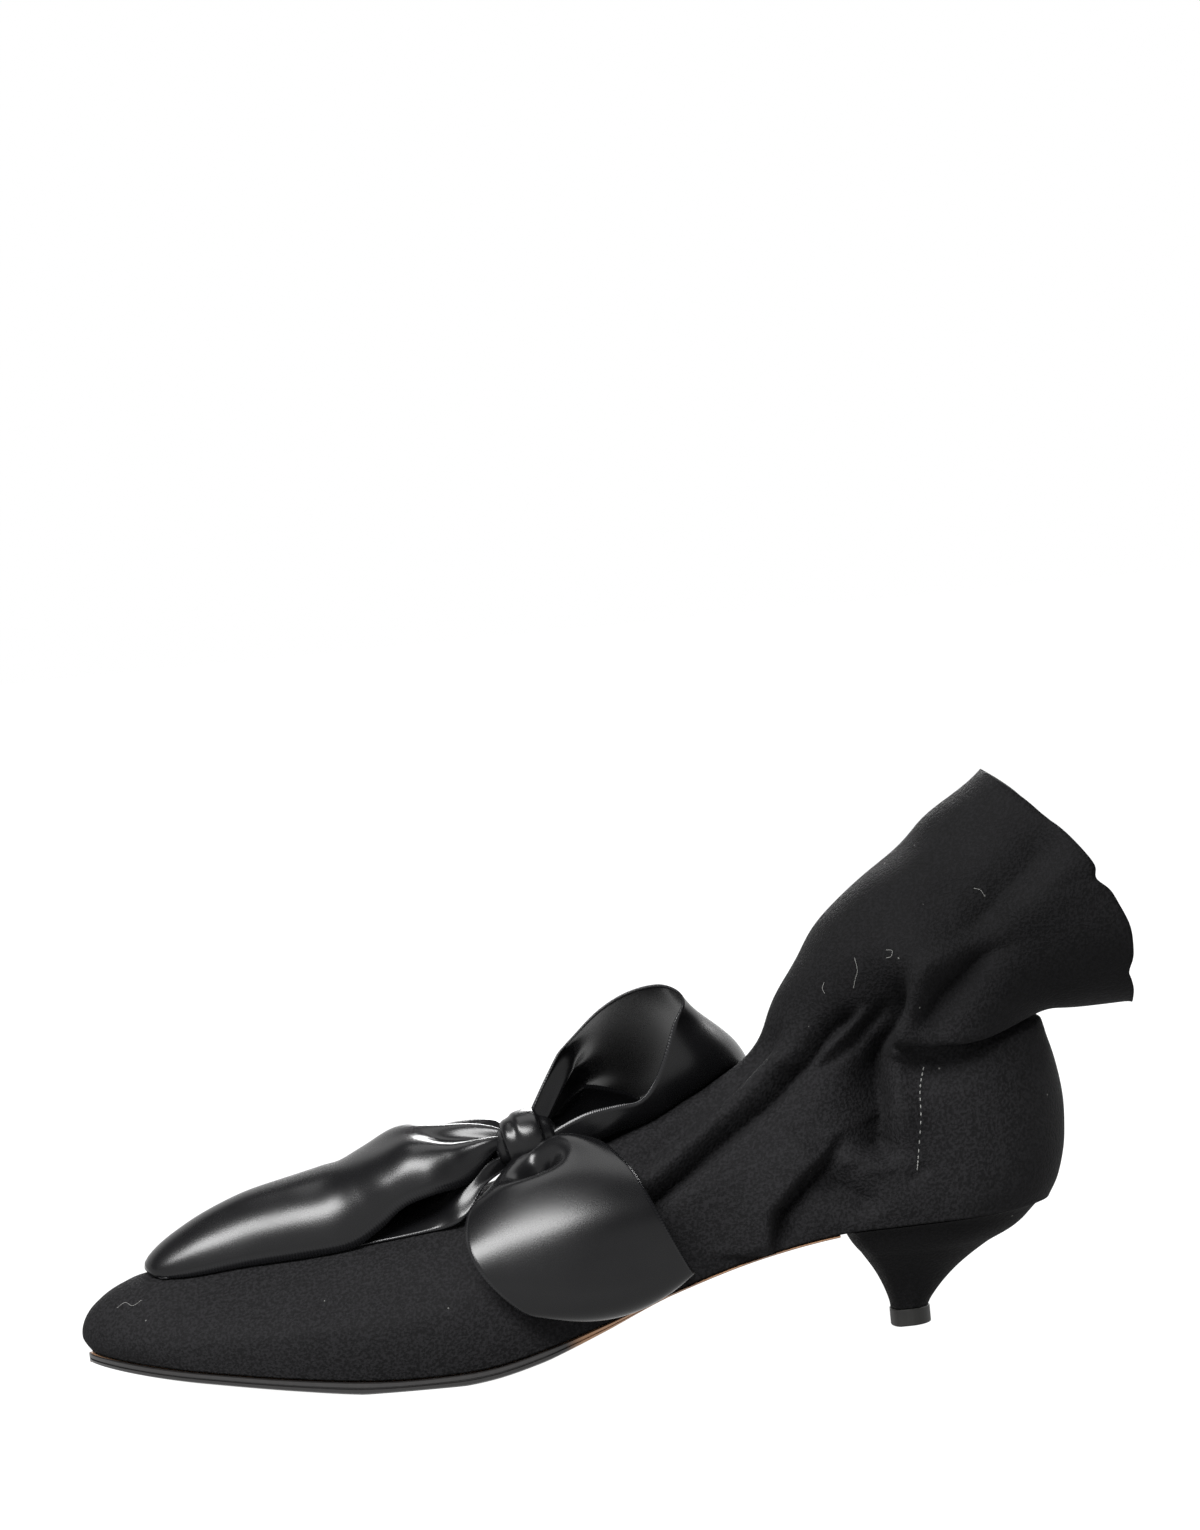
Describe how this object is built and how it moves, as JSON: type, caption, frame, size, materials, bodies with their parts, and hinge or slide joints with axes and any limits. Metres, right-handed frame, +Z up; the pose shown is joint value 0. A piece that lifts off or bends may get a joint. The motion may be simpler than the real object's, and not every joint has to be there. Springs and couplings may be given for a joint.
{
  "type": "sock ankle boot on a kitten heel",
  "caption": "Left slip-on sock boot in black stretch fabric with a rounded almond toe, a slack backward shaft, a low covered heel, a thin leather sole and a wide satin ribbon bow on the instep.",
  "frame": {"origin": "on the floor under the middle of the part's box", "axes": "+X from toe to heel, +Y towards the inner side of the foot, +Z up"},
  "size_m": [0.2742, 0.0756, 0.1378],
  "materials": {
    "crepe": "matte black stretch crepe with a fine grain",
    "satin": "glossy black satin ribbon with woven selvedges",
    "sole_leather": "tan sole leather with a black painted forefoot edge",
    "insole_leather": "plain matte lining leather",
    "heel_rubber": "dark grey hard rubber"
  },
  "bodies": {
    "root": {"upper": "crepe", "outsole": "sole_leather", "insole": "insole_leather", "heel": "crepe", "top_piece": "heel_rubber", "bow_knot": "satin", "bow_loop_front": "satin", "bow_loop_back": "satin", "bow_loop_side": "satin"}
  },
  "joints": []
}
